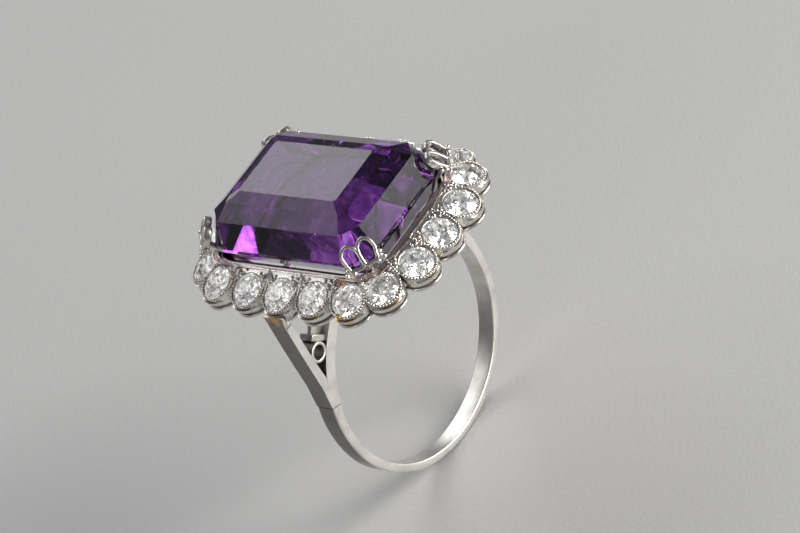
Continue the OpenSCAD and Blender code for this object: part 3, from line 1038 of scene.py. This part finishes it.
def make_claws(metal):
    """Each claw is two arches on a stem that rises from the finger rail and bends at a knee."""
    corners = [(1, 1), (-1, 1), (-1, -1), (1, -1)]
    rail_top = top_of("finger_rail") - 0.03
    hand = random.Random(7)
    for k, (sx, sy) in enumerate(corners):
        matrix = claw_matrix(sx, sy)
        loops = placed(join(claw_loop(-1, hand), claw_loop(1, hand)), matrix)
        knee = Vector((sx * 4.62, sy * 6.9, GIRDLE_Z - 0.96))
        foot = matrix @ Vector((-0.02, 0, 0.08))
        stem = straight_wire((sx * 3.55, sy * 4.8, rail_top), knee, CLAW_WIRE_R)
        neck = straight_wire(knee - Vector((0, 0, 0.1)), foot, CLAW_WIRE_R)
        piece(f"wire_claw_{k + 1}", join(loops, stem, neck), metal, (f"claw_{k + 1}",),
              smooth=50)


def make_claw_grains(metal):
    """Four soldered grains on each side of a claw's foot."""
    cluster = [(0.0, 1.22, 0.10, 0.27), (-0.12, 1.36, 0.38, 0.18), (0.12, 0.95, -0.16, 0.24),
               (0.18, 1.44, -0.10, 0.21)]
    shells = []
    for sx in (-1, 1):
        for sy in (-1, 1):
            matrix = claw_matrix(sx, sy)
            for side in (-1, 1):
                for out, across, up, size in cluster:
                    point = matrix @ Vector((out, side * across, up))
                    shells.append(bead(point, size * dice.uniform(0.88, 1.08), 0.9, fineness=3))
    piece("soldered_grains", join(*shells), metal, ("claw_grains",), smooth=80)


# ---------------------------------------------------------------- studio

def make_floor(finish):
    """A wide card under the ring."""
    half = 700.0
    corners = [(x * half, y * half, FLOOR_Z) for x, y in ((-1, -1), (1, -1), (1, 1), (-1, 1))]
    mesh = new_mesh("card", (corners, [(0, 1, 2, 3)]))
    mesh.materials.append(finish)
    card = bpy.data.objects.new("card", mesh)
    bpy.context.scene.collection.objects.link(card)


def softbox(name, direction, distance, width, height, glow, tint=(1, 1, 1)):
    """A large soft light that faces the ring. glow is how bright its face looks."""
    data = bpy.data.lights.new(name, "AREA")
    data.shape = "RECTANGLE"
    data.size = width
    data.size_y = height
    data.energy = glow * math.pi * width * height
    data.color = tint
    lamp = bpy.data.objects.new(name, data)
    aim = Vector(direction).normalized()
    lamp.location = aim * distance
    lamp.rotation_euler = aim.to_track_quat("Z", "Y").to_euler()
    bpy.context.scene.collection.objects.link(lamp)


def make_light():
    """A dim cool room and five softboxes: two behind the ring, one at its left and two in front."""
    world = bpy.data.worlds.new("studio")
    bpy.context.scene.world = world
    world.use_nodes = True
    room = world.node_tree.nodes["Background"]
    room.inputs["Color"].default_value = (0.93, 0.95, 1.0, 1)
    room.inputs["Strength"].default_value = 0.12
    softbox("back_box", (0.36, 0.70, 0.62), 0.50, 0.36, 0.26, 2.5)
    softbox("back_left_box", (-0.24, 0.72, 0.66), 0.50, 0.22, 0.26, 1.1)
    softbox("left_box", (-0.88, -0.20, 0.42), 0.60, 0.26, 0.22, 1.4, (1.0, 0.985, 0.96))
    softbox("front_box", (0.47, -0.76, 0.45), 0.60, 0.34, 0.30, 8.0, (1.0, 0.99, 0.97))
    softbox("low_front_box", (0.44, -0.88, 0.16), 0.50, 0.42, 0.18, 10.0, (1.0, 0.985, 0.96))
    view = bpy.context.scene.view_settings
    view.view_transform = "Standard"
    view.look = "None"


def make_camera():
    """Looks down between one shoulder and one end of the head, rolled so that the head leans left."""
    azimuth = math.radians(-36.58)
    elevation = math.radians(35.19)
    roll = math.radians(30.65)
    aim = Vector((3.576, 0.981, 4.140)) * MM
    distance = 275.9 * MM
    level_reach = math.cos(elevation)
    gaze = Vector((-math.sin(azimuth) * level_reach, math.cos(azimuth) * level_reach, -math.sin(elevation)))
    data = bpy.data.cameras.new("camera")
    data.sensor_width = 36.0
    data.lens = 172.15
    data.clip_start = 0.01
    data.clip_end = 10.0
    camera = bpy.data.objects.new("camera", data)
    camera.location = aim - gaze * distance
    level = gaze.to_track_quat("-Z", "Y")
    camera.rotation_euler = (level @ Quaternion((0, 0, 1), -roll)).to_euler()
    bpy.context.scene.collection.objects.link(camera)
    bpy.context.scene.camera = camera


# ---------------------------------------------------------------- assembly

make_camera()
make_light()
shank_finish = shank_metal()
gallery_finish = gallery_metal()
border_finish = border_metal()
make_shank(shank_finish)
for side, name in ((LEFT, "left"), (RIGHT, "right")):
    make_shoulder(side, name, shank_finish)
    make_fork_tube(side, name, shank_finish)
    make_fork_bridge(side, name, gallery_finish)
    make_collar(side, name, border_finish)
make_finger_rail(gallery_finish)
make_struts(gallery_finish)
make_stone_frame(frame_metal())
make_lower_rail(gallery_finish)
make_border(border_finish, diamond())
make_beads(border_finish)
make_corner_grains(border_finish)
make_claws(gallery_finish)
make_claw_grains(border_finish)
make_centre_stone(amethyst())
make_floor(paper_floor())

bpy.context.view_layer.update()
